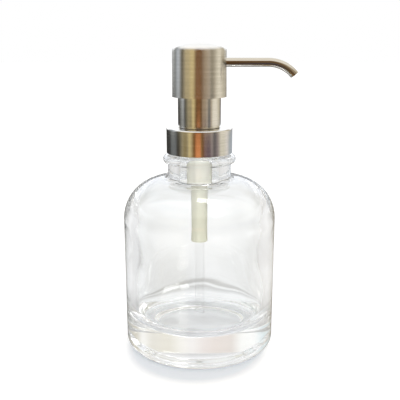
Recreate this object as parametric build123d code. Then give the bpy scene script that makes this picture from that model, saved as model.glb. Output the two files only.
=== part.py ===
"""Soap pump dispenser: clear glass bottle with a screw-on metal-clad lotion pump.

Frame: the bottle's axis is Z, the table is z = 0, the spout points along +X.
Units are millimetres and degrees.  Every sub-part is written to parts/NODE.step.
"""
from build123d import *
from math import atan2, cos, degrees, pi, radians, sin, sqrt, tan
import os

# ---------------------------------------------------------------- driving sizes
# Glass bottle
BODY_R = 38.8            # outside of the straight wall
WALL = 6.0               # heavy side wall
SHOULDER_WALL = 3.0
BASE_THICK = 14.0        # heavy glass base, table to inside floor
HEEL_R = 4.0             # outer rounding at the table
FLOOR_ROUND_R = 9.5      # inside rounding, floor to wall
BODY_H = 68.0            # table to the start of the shoulder
SHOULDER_R = 20.0        # outer rounding of the shoulder
SHOULDER_SLOPE = 6.0     # rise of the shoulder's top towards the neck, degrees
INNER_SHOULDER = 0.75    # inner rounding of the shoulder over the outer one
NECK_R = 15.9            # plain neck under the bead
NECK_H = 8.0             # shoulder to bead
NECK_ROUND_R = 2.5       # rounding between shoulder and neck
BEAD_PROUD = 2.4         # transfer bead over the neck
BEAD_H = 4.0
BEAD_ROUND_R = 1.9
BEAD_FOOT_ROUND_R = 0.3
FINISH_R = 12.6          # wall that carries the thread
FINISH_WALL = 2.6        # finish wall; inside it is the clear bore
FINISH_H = 9.0           # bead to rim
RIM_ROUND_R = 0.7

# Screw thread, 28 mm single-turn finish
THREAD_PITCH = 4.233     # six threads to the inch
THREAD_TURNS = 1.15
THREAD_DEPTH = 1.2
THREAD_ROOT_W = 2.4
THREAD_CREST_W = 1.2
CAP_THREAD_TURNS = 1.0
CAP_THREAD_DEPTH = 1.1
CAP_THREAD_ROOT_W = 1.8
CAP_THREAD_CREST_W = 0.9
THREAD_SIDE_GAP = 0.3    # axial play between the two threads
THREAD_CREST_GAP = 0.4   # radial play between crest and opposite root
THREAD_BURIED = 0.3      # ridge's root inside the wall that carries it

# Screw cap: plastic thread insert in a metal shell
CAP_SKIRT_WALL = 1.7     # plastic and its bond to the shell
CAP_GAP = 1.1            # bead to the cap's lower edge
CAP_WEB = 1.6            # plastic disc that presses on the pump's flange
METAL = 0.6              # sheet thickness of cap and head shells
CAP_EDGE_R = 0.8

# Pump housing
GASKET_THICK = 1.2
FLANGE_THICK = 1.4
FLANGE_INSET = 0.2       # flange's edge inside the finish wall
BARREL_BORE_R = 5.5
BARREL_WALL = 1.0
BARREL_FLOOR = 1.2
FOOT_TUBE_H = 28.0       # narrow tube under the barrel
FOOT_TUBE_WALL = 0.9
SOCKET_DEPTH = 7.0       # grip on the dip tube
VENT_R = 0.6

# Dip tube
DIP_TUBE_R = 3.0
DIP_TUBE_WALL = 1.0
DIP_TUBE_LIFT = 2.0      # end above the bottle's floor
DIP_TUBE_CUT = 20.0      # slant of the lower end, degrees

# Valves
VALVE_SEAT_RATIO = 0.6   # seat bore to ball
INLET_BALL_R = 1.8
INLET_WEB = 2.0          # plastic under the seat's cone
INLET_LIFT = 1.5
CAGE_THICK = 1.2
CAGE_SLOT_W = 1.0
OUTLET_BALL_R = 1.5
OUTLET_WEB = 1.0
OUTLET_LIFT = 1.2
OUTLET_BALL_GAP = 0.7    # liquid's way round the ball

# Travel
STROKE = 12.0
STROKE_CLEAR = 3.0       # head to cap when pressed home
PISTON_SLIP = 1.2        # free play of the piston on its rod

# Spring
SPRING_R = 2.65          # to the middle of the wire
SPRING_WIRE_R = 0.35
SPRING_TURNS = 9
SPRING_GAP = 0.3         # coil to foot tube

# Piston and rod
ROD_PIN_GAP = 0.6        # pin to the inside of the coil
ROD_FLANGE_GAP = 1.3     # liquid's way round the flange
ROD_FLANGE_THICK = 2.1
ROD_TUBE_R = 2.05
ROD_WALL = 0.85
ROD_PORT_R = 0.7
ROD_TUBE_H = 13.4        # above the flange
PISTON_H = 4.7
PISTON_FLOW_GAP = 0.55   # liquid's way between rod and piston
PISTON_HUB_WALL = 1.0
PISTON_LIP = 0.6
PISTON_WEB = 1.0

# Stem
STEM_R = 3.5
STEM_STEP = 0.25         # shoulder that pushes on the rod
STEM_FOOT_GAP = 0.9      # foot to barrel
STEM_FOOT_H = 2.1

# Guide collar and its metal sleeve
GUIDE_PLUG_H = 5.0       # part pushed into the barrel
GUIDE_LEDGE = 0.6        # holds the cap down
GUIDE_WALL = 1.5
GUIDE_FLOOR_H = 5.6      # flange to the floor of the well
WIPER_WALL = 1.5
WIPER_THICK = 1.4
SLEEVE_R = 10.65
SLEEVE_METAL = 0.5
SLEEVE_TURN_IN = 3.65    # width of the turned-in top
SLEEVE_LAP = 1.4         # sleeve hidden inside the head at rest
SLEEVE_GAP = 0.2         # sleeve above the cap

# Head
HEAD_FLARE = 0.25        # extra radius at the lower edge
HEAD_EDGE_R = 2.0
HEAD_DOME_R = 26.0
HEAD_SIDE_ABOVE_SPOUT = 5.8
CORE_SKIRT_WALL = 1.6
CORE_SKIRT_INSET = 0.6   # plastic stays back from the shell's lower edge
CORE_HUB_WALL = 1.7
CORE_HUB_H = 6.1
CORE_SPOUT_FLOOR = 0.65  # plastic under the spout
CORE_SLOT_W = 1.4        # narrower than the ball it stops

# Spout
SPOUT_R = 2.2
SPOUT_METAL = 0.4
SPOUT_LINER_WALL = 0.35
SPOUT_START_X = 5.5      # inner end, inside the head
SPOUT_BEND_X = 33.6      # start of the bend
SPOUT_BEND_R = 16.9
SPOUT_BEND = 50.0        # degrees
LINER_INSET = 0.6        # liner stays back from the tube's mouth
CHANNEL_LEDGE = 0.15     # step that the spout's inner end rests on

# Clearances
FIT_GAP = 0.03           # bonded or pressed pieces of one body
RUN_GAP = 0.08           # shafts that slide or turn in holes
FREE_GAP = 0.3           # pieces that pass each other
FACE_GAP = 0.02          # faces that rest on each other
STOP_GAP = 0.08          # left at the end of a travel

ROUND_LIMIT = 0.95       # largest share of a wall that its roundings take

# ----------------------------------------------------------------- derived radii
bore_r = FINISH_R - FINISH_WALL
bead_r = NECK_R + BEAD_PROUD
bead_round_r = min(BEAD_ROUND_R, ROUND_LIMIT * BEAD_H / 2, ROUND_LIMIT * BEAD_PROUD - BEAD_FOOT_ROUND_R)
thread_crest_r = FINISH_R + THREAD_DEPTH
cap_root_r = thread_crest_r + THREAD_CREST_GAP
cap_crest_r = cap_root_r - CAP_THREAD_DEPTH
cap_r = cap_root_r + CAP_SKIRT_WALL + METAL
flange_r = FINISH_R - FLANGE_INSET

spring_outer_r = SPRING_R + SPRING_WIRE_R
spring_inner_r = SPRING_R - SPRING_WIRE_R
barrel_r = BARREL_BORE_R + BARREL_WALL
foot_tube_bore_r = spring_outer_r + SPRING_GAP
socket_r = DIP_TUBE_R + FIT_GAP
foot_tube_r = max(foot_tube_bore_r, socket_r) + FOOT_TUBE_WALL
inlet_r = VALVE_SEAT_RATIO * INLET_BALL_R
outlet_r = VALVE_SEAT_RATIO * OUTLET_BALL_R
valve_chamber_r = OUTLET_BALL_R + OUTLET_BALL_GAP

rod_pin_r = spring_inner_r - ROD_PIN_GAP
rod_flange_r = BARREL_BORE_R - ROD_FLANGE_GAP
rod_bore_r = ROD_TUBE_R - ROD_WALL
piston_bore_r = ROD_TUBE_R + PISTON_FLOW_GAP
piston_hub_r = piston_bore_r + PISTON_HUB_WALL
stem_bore_r = ROD_TUBE_R - STEM_STEP
stem_foot_bore_r = ROD_TUBE_R + RUN_GAP
stem_foot_r = BARREL_BORE_R - STEM_FOOT_GAP

guide_r = SLEEVE_R - SLEEVE_METAL - FIT_GAP
cap_hole_r = guide_r - GUIDE_LEDGE
guide_neck_r = cap_hole_r - FREE_GAP
guide_hole_r = STEM_R + RUN_GAP
wiper_r = STEM_R + WIPER_WALL
hub_r = STEM_R + CORE_HUB_WALL
core_skirt_bore_r = SLEEVE_R + FREE_GAP
core_r = core_skirt_bore_r + CORE_SKIRT_WALL
head_r = core_r + FIT_GAP + METAL
channel_r = SPOUT_R - SPOUT_METAL - CHANNEL_LEDGE

# --------------------------------------------------------------- derived heights
slope = radians(SHOULDER_SLOPE)
round_reach = tan((pi / 2 - slope) / 2)
slope_length = (BODY_R - NECK_R) / cos(slope)
shoulder_r = min(SHOULDER_R, ROUND_LIMIT * slope_length / round_reach - NECK_ROUND_R)
shoulder_corner_z = BODY_H + shoulder_r * round_reach
neck_foot_z = shoulder_corner_z + (BODY_R - NECK_R) * tan(slope)
bead_low_z = neck_foot_z + NECK_H
bead_top_z = bead_low_z + BEAD_H
rim_z = bead_top_z + FINISH_H

flange_low_z = rim_z + GASKET_THICK
flange_top_z = flange_low_z + FLANGE_THICK
cap_low_z = bead_top_z + CAP_GAP
cap_web_low_z = flange_top_z + FACE_GAP
cap_web_top_z = cap_web_low_z + CAP_WEB
cap_top_z = cap_web_top_z + FIT_GAP + METAL

head_low_z = cap_top_z + STROKE_CLEAR + STROKE
sleeve_low_z = cap_top_z + SLEEVE_GAP
sleeve_top_z = head_low_z + SLEEVE_LAP
core_disc_low_z = sleeve_top_z + STROKE + FREE_GAP
hub_low_z = core_disc_low_z - CORE_HUB_H
spout_z = core_disc_low_z + CORE_SPOUT_FLOOR + SPOUT_R
head_side_top_z = spout_z + HEAD_SIDE_ABOVE_SPOUT

guide_plug_low_z = flange_top_z - GUIDE_PLUG_H
guide_floor_z = flange_top_z + GUIDE_FLOOR_H
guide_top_z = sleeve_top_z - SLEEVE_METAL - FIT_GAP
wiper_low_z = guide_floor_z - WIPER_THICK
stem_foot_top_z = guide_plug_low_z - FREE_GAP
stem_foot_low_z = stem_foot_top_z - STEM_FOOT_H
piston_top_z = stem_foot_low_z - PISTON_SLIP - STOP_GAP
piston_low_z = piston_top_z - PISTON_H
rod_flange_top_z = piston_low_z - FACE_GAP
rod_flange_low_z = rod_flange_top_z - ROD_FLANGE_THICK
rod_top_z = rod_flange_top_z + ROD_TUBE_H
barrel_floor_z = rod_flange_low_z - STROKE - FREE_GAP
foot_tube_top_z = barrel_floor_z - BARREL_FLOOR
foot_tube_low_z = foot_tube_top_z - FOOT_TUBE_H
socket_end_z = foot_tube_low_z + SOCKET_DEPTH
inlet_seat_z = socket_end_z + INLET_WEB
inlet_ball_z = inlet_seat_z - inlet_r + INLET_BALL_R * sqrt(2) + FIT_GAP
cage_low_z = inlet_ball_z + INLET_BALL_R + INLET_LIFT + STOP_GAP
cage_top_z = cage_low_z + CAGE_THICK
rod_tip_z = cage_top_z + STROKE + FREE_GAP

outlet_ball_z = core_disc_low_z - STOP_GAP - OUTLET_LIFT - OUTLET_BALL_R
outlet_seat_z = outlet_ball_z - OUTLET_BALL_R * sqrt(2) + outlet_r - FIT_GAP

neck_thread_top_z = rim_z - RIM_ROUND_R - THREAD_ROOT_W / 2
neck_thread_low_z = neck_thread_top_z - THREAD_PITCH * THREAD_TURNS


# ----------------------------------------------------------------------- helpers
ON_BASE = (Align.CENTER, Align.CENTER, Align.MIN)
UNDER_TOP = (Align.CENTER, Align.CENTER, Align.MAX)


def rounded_corner(before, corner, after, radius):
    """Start, middle and end of the arc that rounds a corner; all three are the corner where radius is 0."""
    if radius == 0:
        return corner, corner, corner
    back = (before - corner).normalized()
    ahead = (after - corner).normalized()
    half_opening = radians(back.get_angle(ahead)) / 2
    reach = radius / tan(half_opening)
    depth = radius / sin(half_opening) - radius
    return corner + back * reach, corner + (back + ahead).normalized() * depth, corner + ahead * reach


def rounded_face(corners):
    """Face in the XZ plane from (radius, height) corners; a third value rounds the corner."""
    points = [Vector(corner[0], 0, corner[1]) for corner in corners]
    radii = [corner[2] if len(corner) > 2 else 0 for corner in corners]
    following = points[1:] + points[:1]
    arcs = [rounded_corner(points[i - 1], p, following[i], radii[i]) for i, p in enumerate(points)]
    edges = []
    for i, (start, middle, end) in enumerate(arcs):
        next_start = arcs[(i + 1) % len(arcs)][0]
        if radii[i] > 0:
            edges.append(ThreePointArc(start, middle, end))
        edges.append(Line(end, next_start))
    return make_face(edges)


def turned(corners):
    """Solid of revolution about Z."""
    return revolve(rounded_face(corners), Axis.Z)


def ring(inner_r, outer_r, low_z, high_z):
    """Plain ring, or a disc where inner_r is 0."""
    return turned([(inner_r, low_z), (outer_r, low_z), (outer_r, high_z), (inner_r, high_z)])


def across(start_x, z):
    """Plane that faces along X."""
    return Plane(origin=(start_x, 0, z), x_dir=(0, 1, 0), z_dir=(1, 0, 0))


def rod_x(radius, start_x, end_x, z):
    """Round bar along X."""
    return across(start_x, z) * Cylinder(radius, end_x - start_x, align=ON_BASE)


def block(size_x, size_y, low_z, high_z):
    """Block centred on the axis."""
    return Pos(0, 0, low_z) * Box(size_x, size_y, high_z - low_z, align=ON_BASE)


def thread_ridge(root_r, crest_r, root_w, crest_w, turns, start_z, start_turn):
    """One helical ridge; its root is buried in the wall that carries it."""
    buried = THREAD_BURIED if crest_r > root_r else -THREAD_BURIED
    buried_w = root_w + (root_w - crest_w) * THREAD_BURIED / abs(crest_r - root_r)
    path = Helix(THREAD_PITCH, THREAD_PITCH * turns, root_r)
    section = Plane(origin=path @ 0, x_dir=(1, 0, 0), z_dir=path % 0) * make_face(
        Polyline(
            (-buried, -buried_w / 2),
            (crest_r - root_r, -crest_w / 2),
            (crest_r - root_r, crest_w / 2),
            (-buried, buried_w / 2),
            close=True,
        )
    )
    ridge = sweep(section, path=path, is_frenet=True)
    return Pos(0, 0, start_z) * Rot(0, 0, 360 * start_turn) * ridge


def save(shape, name):
    """Write one sub-part under its node name."""
    shape.label = name
    export_step(shape, f"parts/{name}.step")


# ------------------------------------------------------------------------ bottle
def glass_bottle():
    """Heavy-based jar with a rounded shoulder, a bead and a threaded finish."""
    inner_r = BODY_R - WALL
    inner_corner_z = shoulder_corner_z - SHOULDER_WALL / cos(slope) + WALL * tan(slope)
    inner_neck_z = inner_corner_z + (inner_r - bore_r) * tan(slope)
    glass = turned(
        [
            (0, 0),
            (BODY_R, 0, HEEL_R),
            (BODY_R, shoulder_corner_z, shoulder_r),
            (NECK_R, neck_foot_z, NECK_ROUND_R),
            (NECK_R, bead_low_z, BEAD_FOOT_ROUND_R),
            (bead_r, bead_low_z, bead_round_r),
            (bead_r, bead_top_z, bead_round_r),
            (FINISH_R, bead_top_z, BEAD_FOOT_ROUND_R),
            (FINISH_R, rim_z, RIM_ROUND_R),
            (bore_r, rim_z, RIM_ROUND_R),
            (bore_r, inner_neck_z, NECK_ROUND_R),
            (inner_r, inner_corner_z, INNER_SHOULDER * shoulder_r),
            (inner_r, BASE_THICK, FLOOR_ROUND_R),
            (0, BASE_THICK),
        ]
    )
    ridge = thread_ridge(
        FINISH_R, thread_crest_r, THREAD_ROOT_W, THREAD_CREST_W, THREAD_TURNS, neck_thread_low_z, 0
    )
    return glass + ridge


# --------------------------------------------------------------------- screw cap
def ridge_half_width(root_r, crest_r, root_w, crest_w, r):
    """Half the axial width of a ridge at radius r."""
    return (root_w + (crest_w - root_w) * (r - root_r) / (crest_r - root_r)) / 2


thread_drop = THREAD_SIDE_GAP + max(
    ridge_half_width(FINISH_R, thread_crest_r, THREAD_ROOT_W, THREAD_CREST_W, r)
    + ridge_half_width(cap_root_r, cap_crest_r, CAP_THREAD_ROOT_W, CAP_THREAD_CREST_W, r)
    for r in (cap_crest_r, thread_crest_r)
)
cap_skirt_low_z = cap_low_z + METAL
cap_thread_low_z = cap_skirt_low_z + CAP_THREAD_ROOT_W / 2
cap_thread_turn = (cap_thread_low_z - neck_thread_low_z + thread_drop) / THREAD_PITCH


def closure_insert():
    """Plastic cap lining: web over the pump's flange, skirt with the inside thread."""
    outer_r = cap_r - METAL - FIT_GAP
    lining = turned(
        [
            (cap_root_r, cap_skirt_low_z),
            (outer_r, cap_skirt_low_z),
            (outer_r, cap_web_top_z, CAP_EDGE_R - METAL),
            (cap_hole_r, cap_web_top_z),
            (cap_hole_r, cap_web_low_z),
            (cap_root_r, cap_web_low_z),
        ]
    )
    ridge = thread_ridge(
        cap_root_r,
        cap_crest_r,
        CAP_THREAD_ROOT_W,
        CAP_THREAD_CREST_W,
        CAP_THREAD_TURNS,
        cap_thread_low_z,
        cap_thread_turn,
    )
    return lining + ridge


def closure_shell():
    """Drawn metal cover of the cap."""
    return turned(
        [
            (cap_r - METAL, cap_low_z),
            (cap_r, cap_low_z, METAL / 3),
            (cap_r, cap_top_z, CAP_EDGE_R),
            (cap_hole_r, cap_top_z),
            (cap_hole_r, cap_top_z - METAL),
            (cap_r - METAL, cap_top_z - METAL, CAP_EDGE_R - METAL),
        ]
    )


# ------------------------------------------------------------- pump in the bottle
def neck_gasket():
    """Soft washer between the bottle's rim and the housing's flange."""
    return ring(bore_r + FREE_GAP, flange_r, rim_z, flange_low_z)


def pump_housing():
    """Flange, barrel and foot tube in one; the foot tube holds the inlet seat and the dip tube."""
    cone_top_z = inlet_seat_z + foot_tube_bore_r - inlet_r
    body = turned(
        [
            (socket_r, foot_tube_low_z),
            (foot_tube_r, foot_tube_low_z),
            (foot_tube_r, foot_tube_top_z),
            (barrel_r, foot_tube_top_z, BARREL_FLOOR / 2),
            (barrel_r, flange_low_z),
            (flange_r, flange_low_z),
            (flange_r, flange_top_z),
            (BARREL_BORE_R, flange_top_z),
            (BARREL_BORE_R, barrel_floor_z),
            (foot_tube_bore_r, barrel_floor_z),
            (foot_tube_bore_r, cone_top_z),
            (inlet_r, inlet_seat_z),
            (inlet_r, socket_end_z),
            (socket_r, socket_end_z),
        ]
    )
    vent = rod_x(VENT_R, 0, 2 * barrel_r, stem_foot_low_z)
    return body - vent


def dip_tube():
    """Clear tube from the foot tube to just above the bottle's floor, its end cut on a slant."""
    low_z = BASE_THICK + DIP_TUBE_LIFT
    tube = ring(DIP_TUBE_R - DIP_TUBE_WALL, DIP_TUBE_R, low_z, socket_end_z - FIT_GAP)
    cut_rise = DIP_TUBE_R * tan(radians(DIP_TUBE_CUT))
    cutter_size = 6 * DIP_TUBE_R
    cutter = Rot(0, DIP_TUBE_CUT, 0) * Box(cutter_size, cutter_size, cutter_size, align=UNDER_TOP)
    return tube - Pos(0, 0, low_z + cut_rise) * cutter


def ball_cage():
    """Slotted disc that keeps the inlet ball down and carries the spring."""
    disc = ring(0, foot_tube_bore_r - FIT_GAP, cage_low_z, cage_top_z)
    slot = block(2 * spring_inner_r, CAGE_SLOT_W, cage_low_z, cage_top_z)
    return disc - slot - Rot(0, 0, 90) * slot


def inlet_ball():
    """Ball of the inlet valve, on its cone."""
    return Pos(0, 0, inlet_ball_z) * Sphere(INLET_BALL_R)


def return_spring():
    """Compression spring from the cage to the rod's flange."""
    low_z = cage_top_z + SPRING_WIRE_R + FACE_GAP
    rise = rod_flange_low_z - FACE_GAP - SPRING_WIRE_R - low_z
    path = Helix(rise / SPRING_TURNS, rise, SPRING_R)
    section = Plane(origin=path @ 0, x_dir=(1, 0, 0), z_dir=path % 0) * Circle(SPRING_WIRE_R)
    return Pos(0, 0, low_z) * sweep(section, path=path, is_frenet=True)


# ---------------------------------------------------------------- piston and stem
def piston_rod():
    """Pin inside the spring, flange under the piston, ported tube up into the stem."""
    rod = turned(
        [
            (0, rod_tip_z),
            (rod_pin_r, rod_tip_z, rod_pin_r / 2),
            (rod_pin_r, rod_flange_low_z),
            (rod_flange_r, rod_flange_low_z),
            (rod_flange_r, rod_flange_top_z),
            (ROD_TUBE_R, rod_flange_top_z),
            (ROD_TUBE_R, rod_top_z),
            (rod_bore_r, rod_top_z),
            (rod_bore_r, rod_flange_top_z + ROD_PORT_R),
            (0, rod_flange_top_z + ROD_PORT_R),
        ]
    )
    port_z = (piston_low_z + piston_top_z) / 2
    return rod - rod_x(ROD_PORT_R, -2 * ROD_TUBE_R, 2 * ROD_TUBE_R, port_z)


def piston_cup():
    """Sliding piston: hub and sealing skirt joined by a web."""
    skirt_r = BARREL_BORE_R - RUN_GAP / 2
    web_low_z = (piston_low_z + piston_top_z - PISTON_WEB) / 2
    hub = ring(piston_bore_r, piston_hub_r, piston_low_z, piston_top_z)
    web = ring(piston_hub_r - FACE_GAP, skirt_r - PISTON_LIP + FACE_GAP, web_low_z, web_low_z + PISTON_WEB)
    skirt = ring(skirt_r - PISTON_LIP, skirt_r, piston_low_z + FREE_GAP, piston_top_z - FREE_GAP)
    return hub + web + skirt


def stem():
    """Hollow stem: foot under the guide, rod socket, outlet valve seat at the top."""
    foot_bore_top_z = rod_top_z + FACE_GAP
    cone_top_z = outlet_seat_z + valve_chamber_r - outlet_r
    seat_low_z = outlet_seat_z - OUTLET_WEB
    return turned(
        [
            (stem_foot_bore_r, stem_foot_low_z),
            (stem_foot_r, stem_foot_low_z),
            (stem_foot_r, stem_foot_top_z),
            (STEM_R, stem_foot_top_z),
            (STEM_R, core_disc_low_z - FACE_GAP),
            (valve_chamber_r, core_disc_low_z - FACE_GAP),
            (valve_chamber_r, cone_top_z),
            (outlet_r, outlet_seat_z),
            (outlet_r, seat_low_z),
            (stem_bore_r, seat_low_z),
            (stem_bore_r, foot_bore_top_z),
            (stem_foot_bore_r, foot_bore_top_z),
        ]
    )


def outlet_ball():
    """Ball of the outlet valve, on its cone."""
    return Pos(0, 0, outlet_ball_z) * Sphere(OUTLET_BALL_R)


# -------------------------------------------------------------- guide and sleeve
def guide_collar():
    """Snaps into the barrel, guides the stem and holds the metal sleeve."""
    return turned(
        [
            (guide_hole_r, guide_plug_low_z),
            (BARREL_BORE_R - FIT_GAP, guide_plug_low_z),
            (BARREL_BORE_R - FIT_GAP, flange_top_z + FACE_GAP),
            (guide_neck_r, flange_top_z + FACE_GAP),
            (guide_neck_r, sleeve_low_z),
            (guide_r, sleeve_low_z),
            (guide_r, guide_top_z),
            (guide_r - GUIDE_WALL, guide_top_z),
            (guide_r - GUIDE_WALL, guide_floor_z),
            (wiper_r + FIT_GAP, guide_floor_z),
            (wiper_r + FIT_GAP, wiper_low_z),
            (guide_hole_r, wiper_low_z),
        ]
    )


def stem_wiper():
    """Soft ring that wipes the stem and keeps water out."""
    return ring(STEM_R + RUN_GAP / 2, wiper_r, wiper_low_z + FACE_GAP, guide_floor_z)


def sleeve_shell():
    """Drawn metal sleeve over the guide, turned in at the top."""
    inner_r = SLEEVE_R - SLEEVE_METAL
    return turned(
        [
            (inner_r, sleeve_low_z),
            (SLEEVE_R, sleeve_low_z),
            (SLEEVE_R, sleeve_top_z, SLEEVE_METAL),
            (SLEEVE_R - SLEEVE_TURN_IN, sleeve_top_z),
            (SLEEVE_R - SLEEVE_TURN_IN, sleeve_top_z - SLEEVE_METAL),
            (inner_r, sleeve_top_z - SLEEVE_METAL),
        ]
    )


# -------------------------------------------------------------------------- head
def domed_cup(offset):
    """Head body drawn in by offset: flared side, rounded edge, shallow dome."""
    side_r = head_r - offset
    edge_r = HEAD_EDGE_R - offset
    dome_r = HEAD_DOME_R - offset
    dome_z = head_side_top_z - sqrt((dome_r - edge_r) ** 2 - (side_r - edge_r) ** 2)
    lean = atan2(head_side_top_z - dome_z, side_r - edge_r)

    def on_arc(centre_x, centre_z, radius, angle):
        return Vector(centre_x + radius * cos(angle), 0, centre_z + radius * sin(angle))

    edge = [on_arc(side_r - edge_r, head_side_top_z, edge_r, angle) for angle in (0, lean / 2, lean)]
    dome = [on_arc(0, dome_z, dome_r, angle) for angle in (lean, (lean + pi / 2) / 2, pi / 2)]
    foot = Vector(side_r + HEAD_FLARE, 0, head_low_z)
    middle = Vector(0, 0, head_low_z)
    outline = [
        Line(middle, foot),
        Line(foot, edge[0]),
        ThreePointArc(*edge),
        ThreePointArc(*dome),
        Line(dome[-1], middle),
    ]
    return revolve(make_face(outline), Axis.Z)


def head_shell():
    """Drawn metal cover of the head, with the hole for the spout."""
    shell = domed_cup(0) - domed_cup(METAL)
    return shell - rod_x(SPOUT_R + RUN_GAP, SPOUT_START_X, 2 * head_r, spout_z)


def head_core():
    """Plastic core: disc with the liquid channel, hub for the stem, skirt over the sleeve."""
    skirt_low_z = head_low_z + CORE_SKIRT_INSET
    stem_socket_r = STEM_R + FIT_GAP
    core = turned(
        [
            (stem_socket_r, hub_low_z),
            (hub_r, hub_low_z),
            (hub_r, core_disc_low_z),
            (core_skirt_bore_r, core_disc_low_z),
            (core_skirt_bore_r, skirt_low_z),
            (core_r, skirt_low_z),
            (core_r, head_side_top_z, HEAD_EDGE_R - METAL),
            (0, head_side_top_z),
            (0, core_disc_low_z),
            (stem_socket_r, core_disc_low_z),
        ]
    )
    slot = block(2 * valve_chamber_r, CORE_SLOT_W, hub_low_z, spout_z)
    channel = rod_x(channel_r, -valve_chamber_r, SPOUT_START_X, spout_z)
    seat = rod_x(SPOUT_R + FIT_GAP, SPOUT_START_X - FIT_GAP, 2 * head_r, spout_z)
    return core - slot - channel - seat


def bent_tube(outer_r, inner_r, start_x, inset):
    """Tube along X that bends down; inset shortens its mouth."""
    bend = SPOUT_BEND - degrees(inset / SPOUT_BEND_R)
    section = Circle(outer_r) - Circle(inner_r)
    straight = extrude(across(start_x, spout_z) * section, SPOUT_BEND_X - start_x)
    bend_axis = Axis((SPOUT_BEND_X, 0, spout_z - SPOUT_BEND_R), (0, 1, 0))
    return straight + revolve(across(SPOUT_BEND_X, spout_z) * section, bend_axis, bend)


def spout():
    """Thin metal tube."""
    return bent_tube(SPOUT_R, SPOUT_R - SPOUT_METAL, SPOUT_START_X, 0)


def spout_liner():
    """Plastic tube that keeps the soap off the metal."""
    outer_r = SPOUT_R - SPOUT_METAL - FACE_GAP
    return bent_tube(outer_r, outer_r - SPOUT_LINER_WALL, SPOUT_START_X, LINER_INSET)


# ------------------------------------------------------------------------- build
SUB_PARTS = [
    glass_bottle,
    closure_insert,
    closure_shell,
    neck_gasket,
    pump_housing,
    dip_tube,
    ball_cage,
    inlet_ball,
    return_spring,
    piston_rod,
    piston_cup,
    stem,
    outlet_ball,
    guide_collar,
    stem_wiper,
    sleeve_shell,
    head_shell,
    head_core,
    spout,
    spout_liner,
]

os.makedirs("parts", exist_ok=True)
for make in SUB_PARTS:
    save(make(), make.__name__)

unscrew_turns = THREAD_TURNS - cap_thread_turn
print(f"rim {rim_z:.2f}, cap {cap_low_z:.2f} to {cap_top_z:.2f}, head {head_low_z:.2f}, spout {spout_z:.2f}")
print(f"threads let go after {360 * unscrew_turns:.0f} degrees, {THREAD_PITCH * unscrew_turns:.2f} mm up")
print(f"spring stands at z = {cage_top_z:.3f}")
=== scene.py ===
# %% [markdown]
# # Soap pump dispenser
# A heavy glass jar carries a brushed steel lotion pump.  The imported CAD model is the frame:
# it brings every piece in its right place and at its real size.  This file only dresses it.
# Each piece gets its finish, and the glass and the spring get finer meshes of the same size.

# %% Load the frame
from math import cos, pi, radians, sin, tan

import bmesh
import bpy
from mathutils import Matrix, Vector


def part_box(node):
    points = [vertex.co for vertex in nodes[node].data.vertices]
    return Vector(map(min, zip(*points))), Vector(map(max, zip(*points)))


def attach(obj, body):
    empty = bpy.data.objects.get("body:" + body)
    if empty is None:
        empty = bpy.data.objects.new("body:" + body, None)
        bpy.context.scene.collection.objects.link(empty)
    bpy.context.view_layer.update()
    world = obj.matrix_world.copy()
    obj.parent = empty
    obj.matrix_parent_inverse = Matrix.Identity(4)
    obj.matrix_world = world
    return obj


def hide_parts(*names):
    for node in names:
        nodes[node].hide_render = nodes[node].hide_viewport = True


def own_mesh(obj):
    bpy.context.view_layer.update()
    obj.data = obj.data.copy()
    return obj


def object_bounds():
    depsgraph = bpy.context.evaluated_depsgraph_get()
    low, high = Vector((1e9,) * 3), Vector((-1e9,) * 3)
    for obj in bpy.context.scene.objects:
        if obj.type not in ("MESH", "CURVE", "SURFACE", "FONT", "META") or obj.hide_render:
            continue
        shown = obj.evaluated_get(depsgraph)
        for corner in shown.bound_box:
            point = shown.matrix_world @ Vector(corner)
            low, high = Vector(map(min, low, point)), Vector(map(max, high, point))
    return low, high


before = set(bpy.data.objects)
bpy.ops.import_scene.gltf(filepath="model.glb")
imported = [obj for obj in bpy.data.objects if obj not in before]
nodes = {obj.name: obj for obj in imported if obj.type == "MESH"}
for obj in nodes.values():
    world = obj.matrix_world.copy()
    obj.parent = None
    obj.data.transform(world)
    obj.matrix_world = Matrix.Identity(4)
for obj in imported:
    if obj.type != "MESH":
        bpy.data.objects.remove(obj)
cad_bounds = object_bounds()
scene = bpy.context.scene
scene.view_settings.view_transform = "Standard"

MM = 0.001
print("pieces in the frame:", len(nodes), "height", round(cad_bounds[1].z / MM, 1), "mm")

# %% [markdown]
# ## Camera
# The camera stands a forearm's length away, at the height of the pump's head, and looks down
# a little.  Its distance is worked out from the height of the whole piece.

# %% Camera
CAMERA_ASIDE = 0.3 * MM
CAMERA_BACK = 1.967  # in heights of the piece, like the next
CAMERA_UP = 0.9995
CAMERA_TILT = radians(75.45)  # 90 degrees would be level
LENS = 55.5  # mm, for a sensor 36 mm wide
height = cad_bounds[1].z
camera_data = bpy.data.cameras.new("camera")
camera_data.lens = LENS
camera_data.sensor_width = 36
camera = bpy.data.objects.new("camera", camera_data)
camera.location = (CAMERA_ASIDE, -CAMERA_BACK * height, CAMERA_UP * height)
camera.rotation_euler = (CAMERA_TILT, 0, 0)
scene.collection.objects.link(camera)
scene.camera = camera
print("camera at", [round(c, 4) for c in camera.location])

# %% [markdown]
# ## Helpers for node trees
# Materials, the world and Geometry Nodes are all trees of nodes.  One helper adds a node,
# sets its options and fills its inputs: an input takes a value, or the output of another node.


# %% Node helper
def add(tree, kind, options=None, inputs=None):
    """Add a node; inputs maps a socket's name or number to a value or to another socket."""
    node = tree.nodes.new(kind)
    for key, value in (options or {}).items():
        setattr(node, key, value)
    for key, value in (inputs or {}).items():
        socket = node.inputs[key]
        if isinstance(value, bpy.types.NodeSocket):
            tree.links.new(value, socket)
        else:
            socket.default_value = value
    return node


def calc(tree, operation, *values):
    """One sum, product or function of one to three values."""
    return add(tree, "ShaderNodeMath", {"operation": operation}, dict(enumerate(values))).outputs[0]


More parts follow.
